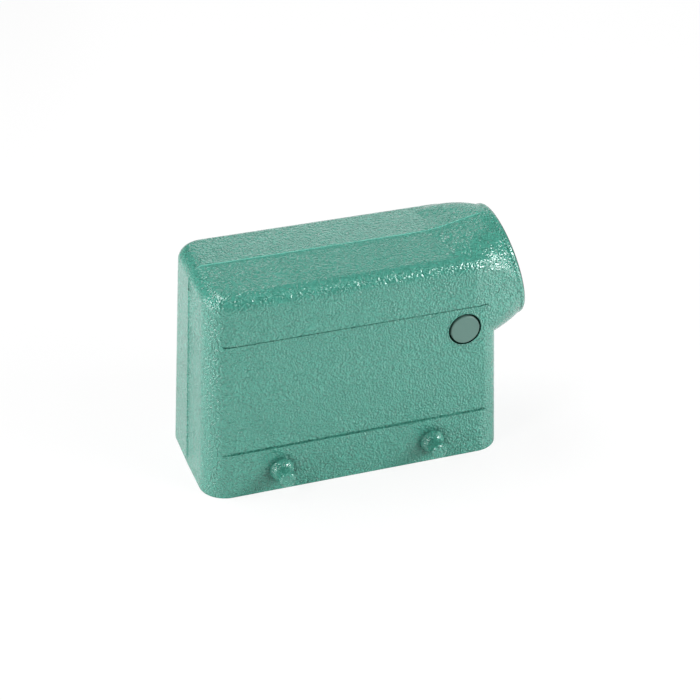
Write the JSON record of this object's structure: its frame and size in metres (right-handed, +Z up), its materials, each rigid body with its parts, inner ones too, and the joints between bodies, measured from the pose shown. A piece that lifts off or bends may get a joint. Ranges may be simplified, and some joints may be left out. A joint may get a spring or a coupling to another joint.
{
  "type": "heavy-duty connector hood",
  "caption": "Cast metal hood of a rectangular industrial connector, open at its mating rim, with a tilted threaded cable entry at one end and locking pegs on its long sides.",
  "frame": {"origin": "centre of the open mating rim, in the plane of the rim", "axes": "+X along the hood towards the cable entry, +Y across it, away from the side that carries the marker button, +Z up from the rim"},
  "size_m": [0.1034, 0.0556, 0.0708],
  "materials": {
    "casting": "semi-gloss wrinkled powder coat, grey-green",
    "button": "satin, moulded"
  },
  "bodies": {
    "root": {"hood_casting": "casting", "marker_button": "button"}
  },
  "joints": []
}
